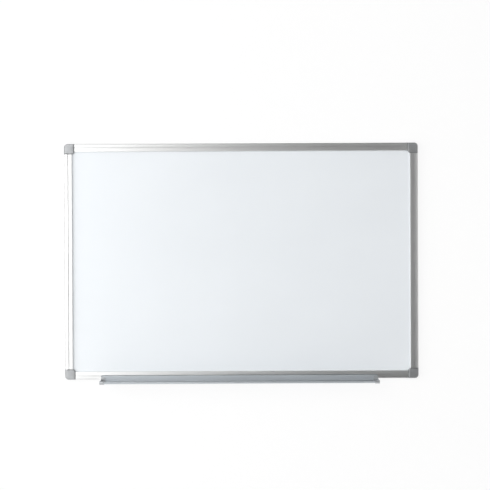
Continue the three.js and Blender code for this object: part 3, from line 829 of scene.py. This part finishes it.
def stage_plane(name, corners, facing, material, hole=None):
    """A flat face, turned towards one side, with one hole at most."""
    bm = bmesh.new()
    loops = [corners, hole] if hole else [corners]
    edges = [edge for loop in loops for edge in ring_edges(bm, ring(bm, loop))]
    bmesh.ops.triangle_fill(bm, edges=edges, use_beauty=True)
    for face in bm.faces:
        face.normal_update()
        if face.normal.dot(Vector(facing)) < 0:
            face.normal_flip()
    mesh = bpy.data.meshes.new(name)
    bm.to_mesh(mesh)
    bm.free()
    mesh.materials.append(material)
    obj = bpy.data.objects.new(name, mesh)
    scene.collection.objects.link(obj)
    return obj


def seen_directly(n):
    """1 for the camera's, a reflection's and a transmission's rays, and 0 for the light that falls on things."""
    path = n.add("LightPath").outputs
    either = n.math("MAXIMUM", path["Is Camera Ray"], path["Is Glossy Ray"])
    return n.math("MAXIMUM", either, path["Is Transmission Ray"])


def pale_paint(name, tone, white):
    """Matt white paint, lifted towards white for the camera and for reflections. It isn't there from behind."""
    n = Nodes(name)
    grain = n.noise(n.coordinates(), SURFACE_GRAIN)
    shade = n.blend(grain, grey(tone - TONE_CHANGE), grey(tone + TONE_CHANGE))
    paint = n.add("BsdfDiffuse", {"Color": shade}).outputs[0]
    glow = n.add("Emission", {"Color": grey(1.0), "Strength": white}).outputs[0]
    share = n.math("MULTIPLY", seen_directly(n), WHITE_SHARE)
    front = n.add("MixShader", {0: share, 1: paint, 2: glow}).outputs[0]
    clear = n.add("BsdfTransparent").outputs[0]
    behind = n.add("NewGeometry").outputs["Backfacing"]
    return n.surface(n.add("MixShader", {0: behind, 1: front, 2: clear}).outputs[0])


def across_x(x, y, z):
    return [(x, y[0], z[0]), (x, y[1], z[0]), (x, y[1], z[1]), (x, y[0], z[1])]


def across_y(x, y, z):
    return [(x[0], y, z[0]), (x[1], y, z[0]), (x[1], y, z[1]), (x[0], y, z[1])]


def across_z(x, y, z):
    return [(x[0], y[0], z), (x[1], y[0], z), (x[1], y[1], z), (x[0], y[1], z)]


def make_stage():
    """The wall, which is open behind the board, and the floor."""
    far = WALL_HALF
    inner_x, inner_z = half_width * MM - HOLE_INSET, half_height * MM - HOLE_INSET
    hole = across_y((-inner_x, inner_x), WALL_Y, (-inner_z, inner_z))
    wall = across_y((-far, far), WALL_Y, (FLOOR_Z, far))
    stage_plane("wall", wall, (0, -1, 0), pale_paint("wall_paint", WALL_TONE, WALL_WHITE), hole)
    floor = across_z((-far, far), (-far, far), FLOOR_Z)
    stage_plane("floor", floor, (0, 0, 1), pale_paint("floor_paint", FLOOR_TONE, FLOOR_WHITE))


def card_cloth():
    """Dark cloth that isn't there for light on its way to a diffuse surface."""
    n = Nodes("dark_card")
    weave = n.noise(n.coordinates(), SURFACE_GRAIN)
    dark = n.add("BsdfDiffuse", {"Color": n.blend(weave, grey(CARD_DARK), grey(CARD_PALE))}).outputs[0]
    bounced = n.math("GREATER_THAN", n.add("LightPath").outputs["Diffuse Depth"], 0.5)
    clear = n.add("BsdfTransparent").outputs[0]
    return n.surface(n.add("MixShader", {0: bounced, 1: dark, 2: clear}).outputs[0])


CARD_BACK, CARD_WALL_END = -4.6, -0.02
CARD_HEIGHT = (-1.29, 4)
CARDS = [
    ("card_front", across_y((-0.45, 1.65), CARD_BACK, CARD_HEIGHT), (0, 1, 0)),
    ("card_side", across_x(2.6, (-1.8, CARD_WALL_END), CARD_HEIGHT), (-1, 0, 0)),
    ("card_left", across_x(-2.6, (-2.3, CARD_WALL_END), CARD_HEIGHT), (1, 0, 0)),
    ("card_above", across_z((-0.6, 3.13), (CARD_BACK, CARD_WALL_END), 3.42), (0, 0, -1)),
    ("card_below", across_z((-0.4, 3.2), (CARD_BACK, -1.35), -1.25), (0, 0, 1)),
]


def make_cards():
    """Cards that only first reflections see. They give the metal its tones, and shade nothing."""
    cloth = card_cloth()
    for name, corners, facing in CARDS:
        card = stage_plane(name, corners, facing, cloth)
        card.visible_camera = card.visible_diffuse = card.visible_shadow = False


def lamp(name, place, size, power, mirrored=True):
    """A soft square lamp that faces the board. Reflections see it only if it is mirrored."""
    data = bpy.data.lights.new(name, "AREA")
    data.shape = "RECTANGLE"
    data.size, data.size_y = size
    data.energy = power
    obj = bpy.data.objects.new(name, data)
    obj.location = place
    obj.rotation_euler = (Vector(LAMP_TARGET) - Vector(place)).to_track_quat("-Z", "Y").to_euler()
    obj.visible_glossy = mirrored
    scene.collection.objects.link(obj)


class WorldNodes(Nodes):
    """The world's node tree, with the same short calls."""

    def __init__(self, name):
        world = bpy.data.worlds.new(name)
        scene.world = world
        world.use_nodes = True
        self.tree = world.node_tree
        self.tree.nodes.clear()
        self.output = self.tree.nodes.new("ShaderNodeOutputWorld")


def make_world(level):
    """An even pale room: white where it is seen or mirrored, and the given level as light."""
    n = WorldNodes("room")
    light = n.add("Background", {"Color": grey(1.0), "Strength": level}).outputs[0]
    white = n.add("Background", {"Color": grey(1.0), "Strength": 1.0}).outputs[0]
    mixed = n.add("MixShader", {0: seen_directly(n), 1: light, 2: white}).outputs[0]
    n.tree.links.new(mixed, n.output.inputs["Surface"])


make_stage()
make_cards()
make_world(ROOM_LEVEL)
lamp("key", KEY_PLACE, KEY_SIZE, KEY_POWER)
lamp("fill", FILL_PLACE, FILL_SIZE, FILL_POWER, mirrored=False)
